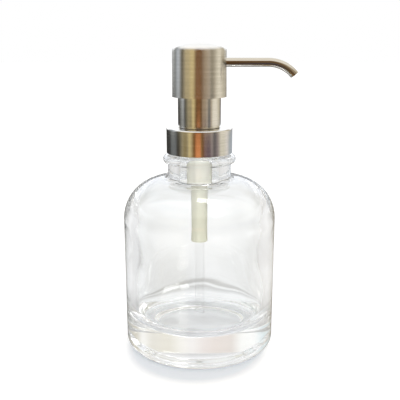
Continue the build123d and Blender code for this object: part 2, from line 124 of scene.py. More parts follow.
def band(tree, value, start, end, smooth=True):
    """0 before start, 1 after end."""
    options = {"interpolation_type": "SMOOTHSTEP" if smooth else "LINEAR"}
    inputs = {"Value": value, "From Min": start, "From Max": end}
    return add(tree, "ShaderNodeMapRange", options, inputs).outputs["Result"]


def blend_colour(tree, factor, first, second):
    """Mix of two colours, or of two directions."""
    node = add(tree, "ShaderNodeMix", {"data_type": "RGBA"}, {"Factor": factor})
    for socket, value in ((node.inputs[6], first), (node.inputs[7], second)):
        if isinstance(value, bpy.types.NodeSocket):
            tree.links.new(value, socket)
        else:
            socket.default_value = (*value, 1)
    return node.outputs[2]


def join_xyz(tree, x, y, z):
    """Three values as one vector."""
    return add(tree, "ShaderNodeCombineXYZ", None, {0: x, 1: y, 2: z}).outputs[0]


def noise(tree, vector, scale, detail=2.0):
    """Soft noise from 0 to 1."""
    inputs = {"Vector": vector, "Scale": scale, "Detail": detail}
    return add(tree, "ShaderNodeTexNoise", None, inputs).outputs["Fac"]


def vector_math(tree, operation, inputs, output="Vector"):
    """One step of vector arithmetic."""
    return add(tree, "ShaderNodeVectorMath", {"operation": operation}, inputs).outputs[output]


# %% [markdown]
# ## The room
# Bare metal has hardly a colour of its own: it shows the room.  So the room is painted first,
# as a ring of soft panels around the piece, with a pale ceiling above and a bright wall behind.
# A colour ramp wrapped around the horizon does this without any object in the way, and the
# camera itself sees plain white behind the piece.

# %% Room colours, by direction
WHITE = (1.0, 1.0, 1.0)
BRIGHT = (1.42, 1.48, 1.60)
SOOT = (0.05, 0.05, 0.05)
COAL = (0.08, 0.075, 0.065)
IRON = (0.12, 0.12, 0.11)
PEWTER = (0.24, 0.25, 0.25)
SLATE = (0.30, 0.32, 0.33)
ZINC = (0.40, 0.41, 0.40)
MIST = (0.48, 0.53, 0.60)
COOL_PALE = (0.62, 0.67, 0.76)
UMBER_GREY = (0.19, 0.165, 0.12)
OLIVE = (0.26, 0.24, 0.16)
KHAKI = (0.30, 0.24, 0.12)
OCHRE_DIM = (0.48, 0.41, 0.28)
OCHRE = (0.65, 0.54, 0.32)
HONEY = (0.76, 0.62, 0.32)
RUSSET = (0.32, 0.19, 0.08)
BROWN = (0.21, 0.11, 0.045)
DARK_RUST = (0.22, 0.09, 0.025)
TAUPE = (0.33, 0.23, 0.15)
SAND = (0.48, 0.38, 0.26)
SAND_PALE = (0.56, 0.48, 0.38)
STONE = (0.42, 0.37, 0.27)
LEAD = (0.13, 0.11, 0.12)
OAT = (0.58, 0.53, 0.42)
LINEN = (0.72, 0.66, 0.54)
CREAM = (0.92, 0.86, 0.72)
JET = (0.055, 0.05, 0.045)
SMOKE = (0.17, 0.185, 0.20)
DRAB = (0.20, 0.185, 0.14)
MOSS = (0.39, 0.34, 0.22)
BRONZE = (0.145, 0.075, 0.032)
CHESTNUT = (0.23, 0.13, 0.05)
FLAME = (0.95, 0.37, 0.145)
DAMSON = (0.21, 0.122, 0.15)
GRAPE = (0.125, 0.08, 0.13)
FOG = (0.32, 0.275, 0.30)
PARCHMENT = (0.80, 0.77, 0.67)
MILK = (0.90, 0.87, 0.86)
IVORY = (1.05, 1.0, 0.90)

# Azimuth in degrees: 0 is towards the camera, 90 along the spout, -90 away from it.
UPPER_RING = [
    (-180, IRON), (-160, IRON), (-145, SLATE), (-122, SLATE), (-112, MIST), (-104, COOL_PALE),
    (-94, COOL_PALE), (-88, ZINC), (-80, UMBER_GREY), (-74, UMBER_GREY), (-66, OCHRE_DIM),
    (-57, OCHRE), (-45, OCHRE), (-34, HONEY), (-24, HONEY), (-14, BROWN), (7, BROWN), (16, TAUPE),
    (26, SAND), (42, SAND_PALE), (52, STONE), (59, STONE), (72, OAT), (88, CREAM), (98, CREAM),
    (112, LINEN), (128, OAT), (150, STONE), (170, IRON),
]  # fmt: skip

# %% Ramps around the horizon
AROUND = 2 * pi


def colour_ramp(tree, factor, stops):
    """Colour ramp from stops of (position, colour)."""
    ramp = add(tree, "ShaderNodeValToRGB", None, {"Fac": factor})
    elements = ramp.color_ramp.elements
    elements[0].position = stops[0][0]
    elements[0].color = (*stops[0][1], 1)
    elements.remove(elements[1])
    for position, colour in stops[1:]:
        element = elements.new(position)
        element.color = (*colour, 1)
    return ramp.outputs["Color"]


def ring_ramp(tree, factor, ring):
    """Colour ramp once around the horizon, from stops of (azimuth, colour)."""
    return colour_ramp(tree, factor, [((azimuth + 180) / 360, colour) for azimuth, colour in ring])


def azimuth_factor(tree, x, y, spread=1.0):
    """0 to 1 once around, from behind the piece by its left, its front and its right."""
    turn = calc(tree, "ARCTAN2", x, calc(tree, "MULTIPLY", y, -1.0))
    return calc(tree, "MULTIPLY_ADD", turn, spread / AROUND, 0.5)


print("upper ring:", len(UPPER_RING), "stops")

# %% [markdown]
# ## Two looks of the room
# Steel and clear glass ask for different rooms.  Steel shows the ring of panels, the ceiling and
# the space under the table.  Glass bends the view, so its clear parts show plain pale light, and
# its edges are drawn by whatever is dark beside it.  Rays that came through glass therefore see
# pale tones by height, a dark line between 12 and 20 degrees up, and a grey card on each side.
# The heavy foot acts as a lens and shows the strip of the room from 24 to 37 degrees up, so that
# strip changes its tone from side to side.

# %% Tones of the room
CEILING_FRONT = (0.88, 0.82, 0.73)  # as it lights the room
CEILING_SHEEN = (1.38, 1.41, 1.48)  # as the steel shows it
CEILING_RISE = (28, 46)  # degrees above the horizon, where the ring turns into the ceiling
WALL_RISE = (-1, 5)  # the same behind the piece
UNDER_FRONT = (0.26, 0.20, 0.13)
UNDER_BACK = (0.62, 0.57, 0.47)
UNDER_FALL = (-35, -55)
RING_IN_GLASS = 0.15  # share of the ring in what glass shows
CARD_LEFT = (0.34, 0.30, 0.27)
CARD_RIGHT = (0.34, 0.35, 0.29)
# what glass shows, by degrees above the horizon
THROUGH_GLASS = [
    (-90, (0.86, 0.88, 0.90)), (-5, (0.90, 0.91, 0.93)), (8, (0.97, 0.98, 0.98)),
    (12, (0.50, 0.50, 0.51)), (20, (0.50, 0.50, 0.51)), (24, (0.95, 0.93, 0.89)),
    (30, (0.93, 0.91, 0.87)), (40, (1.06, 1.07, 1.08)), (90, (1.02, 1.03, 1.05)),
]  # fmt: skip
# the strip that the foot shows, from one side to the other
FOOT_SWEEP = [
    (0.0, (0.66, 0.78, 0.82)), (0.12, (0.78, 0.88, 0.92)), (0.20, (1.02, 1.02, 1.02)),
    (0.29, (1.02, 1.02, 1.0)), (0.35, (0.83, 0.77, 0.73)), (0.43, (0.86, 0.79, 0.75)),
    (0.48, (0.90, 0.84, 0.81)), (0.53, (0.98, 0.95, 0.93)), (0.58, (0.96, 0.94, 0.90)),
    (0.64, (0.84, 0.81, 0.73)), (0.74, (0.86, 0.83, 0.76)), (0.82, (1.0, 0.98, 0.93)),
    (0.88, (0.70, 0.65, 0.54)), (1.0, (0.60, 0.55, 0.45)),
]  # fmt: skip


def risen_by(tree, up, degrees):
    """0 below the first height above the horizon, 1 past the second; up is a direction's Z."""
    return band(tree, up, sin(radians(degrees[0])), sin(radians(degrees[1])))


print("through glass:", len(THROUGH_GLASS), "heights,", len(FOOT_SWEEP), "stops across the foot")

# %% The room that lights the piece
world = bpy.data.worlds.new("room")
scene.world = world
world.use_nodes = True
tree = world.node_tree
tree.nodes.clear()
generated = add(tree, "ShaderNodeTexCoord").outputs["Generated"]
direction = add(tree, "ShaderNodeSeparateXYZ", None, {0: generated})
x, y, z = (direction.outputs[i] for i in range(3))
ring_colour = ring_ramp(tree, azimuth_factor(tree, x, y), UPPER_RING)
path = add(tree, "ShaderNodeLightPath")
front = blend_colour(tree, path.outputs["Is Glossy Ray"], CEILING_FRONT, CEILING_SHEEN)
ceiling = blend_colour(tree, band(tree, y, 0.2, 0.75), front, BRIGHT)
under = blend_colour(tree, band(tree, y, -0.2, 0.3), UNDER_FRONT, UNDER_BACK)
risen = risen_by(tree, z, CEILING_RISE)
risen_behind = calc(tree, "MULTIPLY", band(tree, y, 0.6, 0.8), risen_by(tree, z, WALL_RISE))
colour = blend_colour(tree, calc(tree, "MAXIMUM", risen, risen_behind), ring_colour, ceiling)
colour = blend_colour(tree, risen_by(tree, z, UNDER_FALL), colour, under)

# %% The room that glass shows
rise = [(0.5 + 0.5 * sin(radians(elevation)), tone) for elevation, tone in THROUGH_GLASS]
through = colour_ramp(tree, calc(tree, "MULTIPLY_ADD", z, 0.5, 0.5), rise)
through = blend_colour(tree, RING_IN_GLASS, through, ring_colour)
sideways = band(tree, calc(tree, "ABSOLUTE", x), 0.72, 0.90)
beside = calc(tree, "MULTIPLY", sideways, band(tree, z, 0.62, 0.42))
card = blend_colour(tree, band(tree, x, -0.1, 0.1), CARD_LEFT, CARD_RIGHT)
through = blend_colour(tree, beside, through, card)
strip = calc(tree, "MULTIPLY", band(tree, z, 0.38, 0.41), band(tree, z, 0.66, 0.60))
swept = colour_ramp(tree, band(tree, x, -0.9, 0.9, smooth=False), FOOT_SWEEP)
through = blend_colour(tree, strip, through, swept)

# %% Put the room together
shown = blend_colour(tree, path.outputs["Is Transmission Ray"], colour, through)
room = add(tree, "ShaderNodeBackground", None, {"Color": shown, "Strength": 1.0})
backdrop = add(tree, "ShaderNodeBackground", None, {"Color": (*WHITE, 1), "Strength": 1.0})
by_ray = {0: path.outputs["Is Camera Ray"], 1: room.outputs[0], 2: backdrop.outputs[0]}
seen = add(tree, "ShaderNodeMixShader", None, by_ray)
add(tree, "ShaderNodeOutputWorld", None, {"Surface": seen.outputs[0]})
print("room:", len(tree.nodes), "nodes")

# %% [markdown]
# ## Floor
# A pale floor.  Its own light lifts it to white for the camera and for what is seen through the glass,
# while its dull part still takes the shadow.  Most of what the glass shows is this floor, bent, so it
# also carries painted shade and light that only rays through glass can see: dark rings, blots and dark
# sides that draw the lines and edges in the glass.

# %% Floor
FLOOR_HALF = 4.0
FLOOR_DROP = 0.05 * MM  # keeps the floor's face clear of the glass that stands on it
FLOOR_DULL = 0.58
FLOOR_LIFT = 0.52  # its own light, to the camera and through glass
CAMERA_LIFT = 0.13  # and the rest that the camera alone needs
CONTACT_SHADE = (0.58, 0.63, 0.70)  # the cool shade where the glass meets the floor
CONTACT_AT = (-2 * MM, -13 * MM)  # mostly to the left and in front
CONTACT_EDGE = (39 * MM, 31 * MM)  # gone at the first distance, whole at the second
floor_mesh = bpy.data.meshes.new("floor")
signs = ((-1, -1), (1, -1), (1, 1), (-1, 1))
corners = [(sx * FLOOR_HALF, sy * FLOOR_HALF, -FLOOR_DROP) for sx, sy in signs]
floor_mesh.from_pydata(corners, [], [(0, 1, 2, 3)])
floor = bpy.data.objects.new("floor", floor_mesh)
scene.collection.objects.link(floor)
floor.visible_glossy = False

# %% Painted shade and light of the floor as glass shows it
# distance from the axis in mm, and tone; painted shade and light: the thin dark rings show as dark
# lines in the glass
PAINTED_THROUGH_FLOOR = [
    (0, 1.06), (24, 1.08), (32, 1.02), (44, 1.10), (53, 1.10), (56, 0.30), (59, 0.36), (61, 1.10),
    (64, 1.06), (66, 0.18), (71, 0.28), (75, 0.84), (100, 0.88), (130, 0.94), (170, 1.00),
    (250, 1.02), (290, 0.74), (450, 0.58), (700, 0.84), (1000, 0.95),
]  # fmt: skip
THROUGH_TINT = (0.90, 0.905, 0.945)
# from straight left to straight right; painted shade and light: the dark ends draw the inner edge of
# the wall
PAINTED_SIDE_TONES = [
    (-1.0, 0.10), (-0.97, 0.16), (-0.93, 0.62), (-0.80, 0.76), (-0.72, 1.10), (-0.57, 1.16),
    (-0.47, 1.0), (-0.1, 1.0), (0.1, 1.04), (0.30, 1.07), (0.42, 1.04), (0.53, 0.94),
    (0.64, 0.90), (0.74, 0.98), (0.85, 0.80), (0.94, 0.66), (0.97, 0.40), (1.0, 0.36),
]  # fmt: skip
SIDE_FADE = (58 * MM, 80 * MM)  # the painted side tones begin past the first distance
# x and y in mm, reach in mm, and how much darker; below 0 is lighter; painted shade and light that the
# foot shows
PAINTED_BLOTS = [
    (-48, 92, 44, 0.10), (66, 100, 50, 0.13), (-26, 74, 22, 0.12), (22, -4, 6, 0.30),
    (-16, 2, 6, 0.20), (-6, -16, 6, 0.20), (-6, 14, 8, -0.16), (15, -12, 4, -0.20),
]  # fmt: skip
BLOT_EDGE = (1.3, 0.5)  # shares of its reach where a blot begins and where it is whole
UNDER_FOOT = (48 * MM, 36 * MM)


def distance_from(tree, spot, x, y):
    """Level distance of a point from the upright line through x, y."""
    level = vector_math(tree, "MULTIPLY", {0: spot, 1: (1, 1, 0)})
    moved = vector_math(tree, "SUBTRACT", {0: level, 1: (x, y, 0)})
    return vector_math(tree, "LENGTH", {0: moved}, "Value")


print("through the floor:", len(PAINTED_THROUGH_FLOOR), "rings,", len(PAINTED_BLOTS), "blots")

# %% The floor as glass shows it, with its painted shade and light
floor_material = bpy.data.materials.new("floor")
floor_material.use_nodes = True
tree = floor_material.node_tree
tree.nodes.clear()
path = add(tree, "ShaderNodeLightPath")
spot = add(tree, "ShaderNodeTexCoord").outputs["Object"]
away = distance_from(tree, spot, 0, 0)
by_distance = [(far * MM, tuple(tone * c for c in THROUGH_TINT)) for far, tone in PAINTED_THROUGH_FLOOR]
tones = colour_ramp(tree, away, by_distance)

# broad soft clouds, then the painted blots of shade and light, then finer clouds under the foot
patchy = calc(tree, "MULTIPLY_ADD", noise(tree, spot, 16), 0.5, 0.75)
for x_mm, y_mm, reach, depth in PAINTED_BLOTS:
    off = distance_from(tree, spot, x_mm * MM, y_mm * MM)
    blot = band(tree, off, BLOT_EDGE[0] * reach * MM, BLOT_EDGE[1] * reach * MM)
    patchy = calc(tree, "MULTIPLY", patchy, calc(tree, "MULTIPLY_ADD", blot, -depth, 1.0))
under_foot = band(tree, away, *UNDER_FOOT)
close = calc(tree, "MULTIPLY", under_foot, calc(tree, "SUBTRACT", noise(tree, spot, 70), 0.5))
patchy = calc(tree, "MULTIPLY_ADD", close, 0.7, patchy)

# the sides, with the painted shade at the glass's edges
across = add(tree, "ShaderNodeSeparateXYZ", None, {0: spot}).outputs[0]
side = calc(tree, "DIVIDE", across, away)
side_stops = [(0.5 + 0.5 * at, (tone, tone, tone)) for at, tone in PAINTED_SIDE_TONES]
by_side = colour_ramp(tree, calc(tree, "MULTIPLY_ADD", side, 0.5, 0.5), side_stops)
by_side = blend_colour(tree, band(tree, away, *SIDE_FADE), WHITE, by_side)
tones = vector_math(tree, "SCALE", {0: tones, "Scale": patchy})
tones = vector_math(tree, "MULTIPLY", {0: tones, 1: by_side})

# %% Floor material
contact = band(tree, distance_from(tree, spot, *CONTACT_AT), *CONTACT_EDGE)
shade = blend_colour(tree, contact, WHITE, CONTACT_SHADE)
shown = blend_colour(tree, path.outputs["Is Transmission Ray"], shade, tones)
dull_colour = (0.98 * FLOOR_DULL, FLOOR_DULL, 1.03 * FLOOR_DULL, 1)
dull = add(tree, "ShaderNodeBsdfDiffuse", None, {"Color": dull_colour})
to_camera = path.outputs["Is Camera Ray"]
seen_ray = calc(tree, "MAXIMUM", to_camera, path.outputs["Is Transmission Ray"])
lifted = calc(tree, "MULTIPLY", seen_ray, FLOOR_LIFT)
lifted = calc(tree, "MULTIPLY_ADD", to_camera, CAMERA_LIFT, lifted)
lift = add(tree, "ShaderNodeEmission", None, {"Color": shown, "Strength": lifted})
both = add(tree, "ShaderNodeAddShader", None, {0: dull.outputs[0], 1: lift.outputs[0]})
add(tree, "ShaderNodeOutputMaterial", None, {"Surface": both.outputs[0]})
floor_mesh.materials.append(floor_material)
print("floor:", len(tree.nodes), "nodes,", 2 * FLOOR_HALF, "m wide")

# %% [markdown]
# ## Low screen
# The sleeve and the collar look lower than the head does, at darker and warmer things near the
# table.  A short round screen with two rings of colour stands for them.  Only reflections see it.

# %% Rings of the low screen
# azimuths as in the upper ring
MIDDLE_RING = [
    (-180, SOOT), (-150, SOOT), (-135, COAL), (-119, PEWTER), (-104, ZINC), (-97, ZINC),
    (-88, IRON), (-82, IRON), (-72, OLIVE), (-60, MOSS), (-46, MOSS), (-37, HONEY), (-31, HONEY),
    (-22, CHESTNUT), (-14, BRONZE), (9, BRONZE), (18, SAND), (28, SAND), (42, SAND_PALE), (50, SMOKE),
    (57, SMOKE), (66, SAND_PALE), (78, IVORY), (100, IVORY), (115, CREAM), (134, OAT),
    (155, LEAD), (180, SOOT),
]  # fmt: skip
LOWER_RING = [
    (-180, SOOT), (-124, SOOT), (-112, SMOKE), (-100, SMOKE), (-90, SMOKE), (-82, JET),
    (-75, JET), (-67, DRAB), (-59, MOSS), (-54, KHAKI), (-45, KHAKI), (-40, MOSS), (-35, HONEY),
    (-30, OCHRE), (-21, RUSSET), (-17, DARK_RUST), (-9, FLAME), (2, FLAME), (8, RUSSET),
    (12, DARK_RUST), (20, DAMSON), (30, GRAPE), (36, GRAPE), (43, FOG), (53, LEAD),
    (66, FOG), (80, PARCHMENT), (94, PARCHMENT), (112, MILK), (130, MIST), (160, MIST), (180, SOOT),
]  # fmt: skip
print("rings:", len(MIDDLE_RING), "and", len(LOWER_RING), "stops")

# %% Low screen
SCREEN_IN = (75 * MM, 73.9 * MM)  # radius and height of the inner edge
SCREEN_OUT = (193 * MM, 113 * MM)
RING_CHANGE = 141 * MM  # nearer than this is the collar's ring, farther the sleeve's
LOWER_SPREAD = 1.062  # the screen is near, so a ring is spread a little to match the piece's width
MIDDLE_SPREAD = 1.030
SCREEN_SIDES = 96
screen_mesh = bpy.data.meshes.new("low_screen")
turns = [AROUND * i / SCREEN_SIDES for i in range(SCREEN_SIDES)]
points = [(r * cos(a), r * sin(a), h) for r, h in (SCREEN_IN, SCREEN_OUT) for a in turns]
following = [(i + 1) % SCREEN_SIDES for i in range(SCREEN_SIDES)]
faces = [(i, j, SCREEN_SIDES + j, SCREEN_SIDES + i) for i, j in enumerate(following)]
screen_mesh.from_pydata(points, [], faces)
screen = bpy.data.objects.new("low_screen", screen_mesh)
scene.collection.objects.link(screen)
for kind in ("camera", "diffuse", "transmission", "volume_scatter", "shadow"):
    setattr(screen, "visible_" + kind, False)
print("low screen:", len(faces), "faces")

# %% Light of the low screen
screen_material = bpy.data.materials.new("low_screen")
screen_material.use_nodes = True
tree = screen_material.node_tree
tree.nodes.clear()
place = add(tree, "ShaderNodeTexCoord").outputs["Object"]
x, y = add(tree, "ShaderNodeSeparateXYZ", None, {0: place}).outputs[:2]
lower = ring_ramp(tree, azimuth_factor(tree, x, y, LOWER_SPREAD), LOWER_RING)
middle = ring_ramp(tree, azimuth_factor(tree, x, y, MIDDLE_SPREAD), MIDDLE_RING)
reach = distance_from(tree, place, 0, 0)
is_middle = band(tree, reach, RING_CHANGE - MM, RING_CHANGE + MM)
colour = blend_colour(tree, is_middle, lower, middle)
glow = add(tree, "ShaderNodeEmission", None, {"Color": colour, "Strength": 1.0})
add(tree, "ShaderNodeOutputMaterial", None, {"Surface": glow.outputs[0]})
screen_mesh.materials.append(screen_material)
print("light of the low screen:", len(tree.nodes), "nodes")

# %% [markdown]
# ## Lamps
# One soft box hangs overhead: its reflection is the bright patch on the glass shoulder.  A second
# soft box stands in front and to the right and throws the shadow to the left.  A third lights
# only the pump inside the bottle, as light that comes through clear glass does.


# %% Lamps
def soft_box(name, place, size, radiance, shown_in_gloss=True):
    """Rectangular lamp at place, aimed at the piece; radiance is its brightness to the eye."""
    lamp = bpy.data.lights.new(name, "AREA")
    lamp.shape = "RECTANGLE"
    lamp.size, lamp.size_y = size
    lamp.energy = radiance * pi * size[0] * size[1]
    box = bpy.data.objects.new(name, lamp)
    box.location = place
    aim = Vector((0, 0, height / 2)) - Vector(place)
    box.rotation_euler = aim.to_track_quat("-Z", "Y").to_euler()
    box.visible_glossy = shown_in_gloss
    scene.collection.objects.link(box)
    return box


overhead_box = soft_box("overhead_box", (0.63, -0.20, 3.0), (0.36, 1.6), 11)
soft_box("side_box", (1.5, -2.2, 1.5), (0.9, 0.9), 7, shown_in_gloss=False)

# The overhead box is there for the glass: the steel and the floor are lit without it.
glass_only = bpy.data.collections.new("glass_only")
overhead_box.light_linking.receiver_collection = glass_only

# The inner box lights the pieces inside the glass, and only they stand in its way.
inner_box = soft_box("inner_box", (-0.2, -2.0, 0.6), (1.6, 1.6), 3.2, shown_in_gloss=False)
inner_pieces = bpy.data.collections.new("inner_pieces")
for name in ("pump_housing", "dip_tube", "ball_cage", "neck_gasket"):
    inner_pieces.objects.link(nodes[name])
inner_box.light_linking.receiver_collection = inner_pieces
inner_box.light_linking.blocker_collection = inner_pieces


# %% [markdown]
# ## Brushed steel
# The shells were spun and brushed on a lathe, so the fine scratches run around the axis.
# They spread a reflection up and down and keep it sharp from side to side.  An anisotropic
# gloss with a tangent around the axis does the spreading; thin noise, stretched around the
# axis, gives the scratches themselves.


# %% Material helpers
def new_material(name):
    """Material with an empty tree, its Principled shader and its output."""
    material = bpy.data.materials.new(name)
    material.use_nodes = True
    tree = material.node_tree
    tree.nodes.clear()
    shader = add(tree, "ShaderNodeBsdfPrincipled")
    add(tree, "ShaderNodeOutputMaterial", None, {"Surface": shader.outputs[0]})
    return material, tree, shader


def object_xyz(tree):
    """The piece's own coordinates, in metres."""
    place = add(tree, "ShaderNodeTexCoord").outputs["Object"]
    split = add(tree, "ShaderNodeSeparateXYZ", None, {0: place})
    return place, *split.outputs


STEEL_DARK = (0.62, 0.60, 0.55)
STEEL_PALE = (0.80, 0.765, 0.70)
STEEL_SWING = 0.10  # change of roughness from scratch to scratch
FINE_SCRATCHES = 9000  # to the metre
BROAD_SCRATCHES = 1400
SOFT_EDGE_R = 2.5 * MM


def brushed_steel(name, roughness, anisotropy, axis="Z", painted_reflection=None, rounded_above=None):
    """Steel brushed around Z, or along X where axis is X.

    the stops of a painted reflection, if given, colour it by how far it faces up; rounded_above is the
    height where its top edge softens.
    """
    material, tree, shader = new_material(name)
    _, x, y, z = object_xyz(tree)
    if axis == "Z":
        squares = calc(tree, "ADD", calc(tree, "MULTIPLY", x, x), calc(tree, "MULTIPLY", y, y))
        radius = calc(tree, "SQRT", squares)
        turn = calc(tree, "ARCTAN2", y, x)
        lines = join_xyz(tree, radius, calc(tree, "MULTIPLY", turn, 0.2 * MM), z)
    else:
        lines = join_xyz(tree, calc(tree, "MULTIPLY", x, 0.02), y, z)
    fine = noise(tree, lines, FINE_SCRATCHES)
    broad = noise(tree, lines, BROAD_SCRATCHES)
    streak = calc(tree, "MULTIPLY_ADD", fine, 0.6, calc(tree, "MULTIPLY", broad, 0.4))
    colour = blend_colour(tree, band(tree, streak, 0.25, 0.75), STEEL_DARK, STEEL_PALE)
    if painted_reflection:
        # painted reflection: the colour is tinted by how far the surface faces up
        normal = add(tree, "ShaderNodeTexCoord").outputs["Normal"]
        up = add(tree, "ShaderNodeSeparateXYZ", None, {0: normal}).outputs[2]
        painted_tint = colour_ramp(tree, calc(tree, "MULTIPLY_ADD", up, 0.5, 0.5), painted_reflection)
        colour = vector_math(tree, "MULTIPLY", {0: colour, 1: painted_tint})
    tree.links.new(colour, shader.inputs["Base Color"])
    shader.inputs["Metallic"].default_value = 1
    rough = calc(tree, "MULTIPLY_ADD", streak, STEEL_SWING, roughness - STEEL_SWING / 2)
    tree.links.new(rough, shader.inputs["Roughness"])
    shader.inputs["Anisotropic"].default_value = anisotropy
    shader.inputs["Anisotropic Rotation"].default_value = 0.25
    if axis == "Z":
        tangent = add(tree, "ShaderNodeTangent", {"direction_type": "RADIAL", "axis": "Z"})
        tree.links.new(tangent.outputs[0], shader.inputs["Tangent"])
    scratched = {"Strength": 0.15, "Distance": 0.01 * MM, "Height": streak}
    bump = add(tree, "ShaderNodeBump", None, scratched)
    if rounded_above:
        soft_edge = add(tree, "ShaderNodeBevel", None, {"Radius": SOFT_EDGE_R}).outputs[0]
        near_top = band(tree, z, rounded_above, rounded_above + 2 * MM)
        own = add(tree, "ShaderNodeNewGeometry").outputs["Normal"]
        tree.links.new(blend_colour(tree, near_top, own, soft_edge), bump.inputs["Normal"])
    tree.links.new(bump.outputs[0], shader.inputs["Normal"])
    return material


# %% Dress the steel shells
def dress(name, material):
    """Give a CAD node its material."""
    piece = nodes[name]
    piece.data.materials.clear()
    piece.data.materials.append(material)


steel_head = brushed_steel("steel_head", 0.24, 0.85, rounded_above=150.5 * MM)
steel_cap = brushed_steel("steel_cap", 0.16, 0.9)
# Painted reflection: the polished tube's colour is darkened by how it faces, to show the table's dark
# edge as a stripe below its middle and a thin one underneath, and lifted by a painted sheen between
# them.
PAINTED_DARK_REFLECTION = (0.42, 0.46, 0.46)
PAINTED_UNDER_SHEEN = (1.10, 1.08, 1.12)
PAINTED_TUBE_REFLECTION = [
    (0.00, (0.34, 0.34, 0.36)), (0.08, (0.42, 0.42, 0.45)), (0.13, PAINTED_UNDER_SHEEN), (0.21, PAINTED_UNDER_SHEEN),
    (0.26, PAINTED_DARK_REFLECTION), (0.46, PAINTED_DARK_REFLECTION), (0.55, (0.80, 0.80, 0.76)), (0.66, (0.74, 0.69, 0.60)),
    (0.86, (0.70, 0.65, 0.56)), (1.00, (0.72, 0.68, 0.60)),
]  # fmt: skip
steel_tube = brushed_steel("steel_tube", 0.12, 0.0, axis="X", painted_reflection=PAINTED_TUBE_REFLECTION)
dress("head_shell", steel_head)
dress("sleeve_shell", steel_cap)
dress("closure_shell", steel_cap)
dress("spout", steel_tube)
print("steel:", steel_head.name, steel_cap.name, steel_tube.name)


# %% [markdown]
# ## Plastics
# The inner parts are moulded: white where they carry load, unfilled natural plastic where soap
# runs through, a soft seal at the neck, and a clear tube down to the floor.  A Principled
# surface with a faint grain does for all four.  Scanned textures would be lost at this size.
# The natural plastic is painted darker and yellower towards the pump's foot, as painted shade of its
# thin lower tube, so its colour follows the height.


# %% Plastics
FOOT_SHADE_FADE = (68 * MM, 94 * MM)  # heights between which the foot's painted shade gives way
PLASTIC_SWING = 0.12  # change of roughness over the surface
GRAIN_TONE = (0.3, 0.3, 0.28)


def plastic(name, colour, roughness, transmission=0.0, ior=1.5, shaded_foot_colour=None):
    """Moulded plastic with a faint grain; the last argument is the colour at the pump's thin lower
    end, darker there as painted shade.
    """
    material, tree, shader = new_material(name)
    place, _, _, z = object_xyz(tree)
    if shaded_foot_colour:
        # painted shade: darker and yellower towards the pump's foot
        colour = blend_colour(tree, band(tree, z, *FOOT_SHADE_FADE), shaded_foot_colour, colour)
    grain = calc(tree, "MULTIPLY", noise(tree, place, 2500), 0.06)
    tone = blend_colour(tree, grain, colour, GRAIN_TONE)
    tree.links.new(tone, shader.inputs["Base Color"])
    cloud = noise(tree, place, 700)
    soft = calc(tree, "MULTIPLY_ADD", cloud, PLASTIC_SWING, roughness - PLASTIC_SWING / 2)
    tree.links.new(soft, shader.inputs["Roughness"])
    shader.inputs["Transmission Weight"].default_value = transmission
    shader.inputs["IOR"].default_value = ior
    grained = {"Strength": 0.1, "Distance": 0.02 * MM, "Height": grain}
    bump = add(tree, "ShaderNodeBump", None, grained)
    tree.links.new(bump.outputs[0], shader.inputs["Normal"])
    return material


white_plastic = plastic("white_plastic", (0.90, 0.90, 0.87), 0.38)
natural_plastic = plastic("natural_plastic", (0.975, 0.965, 0.87), 0.5, shaded_foot_colour=(0.77, 0.76, 0.61))
soft_seal = plastic("soft_seal", (0.80, 0.80, 0.76), 0.6)
clear_tube = plastic("clear_tube", (0.99, 0.99, 0.99), 0.10, 1.0, 1.02)
polished = brushed_steel("polished_steel", 0.12, 0.0)
spring_wire = brushed_steel("spring_steel", 0.26, 0.0)
for name in ("closure_insert", "piston_rod", "stem", "guide_collar", "head_core"):
    dress(name, white_plastic)
for name in ("pump_housing", "ball_cage", "piston_cup", "spout_liner"):
    dress(name, natural_plastic)
for name in ("neck_gasket", "stem_wiper"):
    dress(name, soft_seal)
for name in ("inlet_ball", "outlet_ball"):
    dress(name, polished)
dress("dip_tube", clear_tube)
print("plastics:", white_plastic.name, natural_plastic.name, soft_seal.name, clear_tube.name)


# %% [markdown]
# ## Glass jar
# The jar is pressed and blown soda glass: a solid of revolution with a very heavy base.  It
# could be a CAD node with a glass finish, but glass shows every facet, so it is turned again
# here from its outline.  Geometry Nodes do what a lathe does: round the corners of the outline,
# carry it once around the axis, and close it.  The same tree adds the screw thread and the
# faint waves that the mould leaves in the inner wall, which bend what shows through it.


# %% A lathe in Geometry Nodes
def socket(tree, name, kind, value=None):
    """Named input of a Geometry Nodes tree."""
    made = tree.interface.new_socket(name, in_out="INPUT", socket_type=kind)
    if value is not None:
        made.default_value = value
    return made


def named(tree, name):
    """A mark that the corners of the outline carry."""
    kind = {"data_type": "FLOAT"}
    return add(tree, "GeometryNodeInputNamedAttribute", kind, {"Name": name}).outputs[0]


def hand_out(tree, skin, material):
    """Shade a surface smooth, give it its material and make it the tree's output."""
    smooth = add(tree, "GeometryNodeSetShadeSmooth", None, {"Geometry": skin}).outputs[0]
    real = add(tree, "GeometryNodeRealizeInstances", None, {"Geometry": smooth}).outputs[0]
    finish = {"Geometry": real, "Material": material}
    done = add(tree, "GeometryNodeSetMaterial", None, finish).outputs[0]
    add(tree, "NodeGroupOutput", None, {0: done})


# %% Thread and waves
RIDGE = (0.14, 0.30)  # half widths of the thread at its crest and its root, in pitches
RUN_OUT = 0.06  # turns over which the thread begins and ends


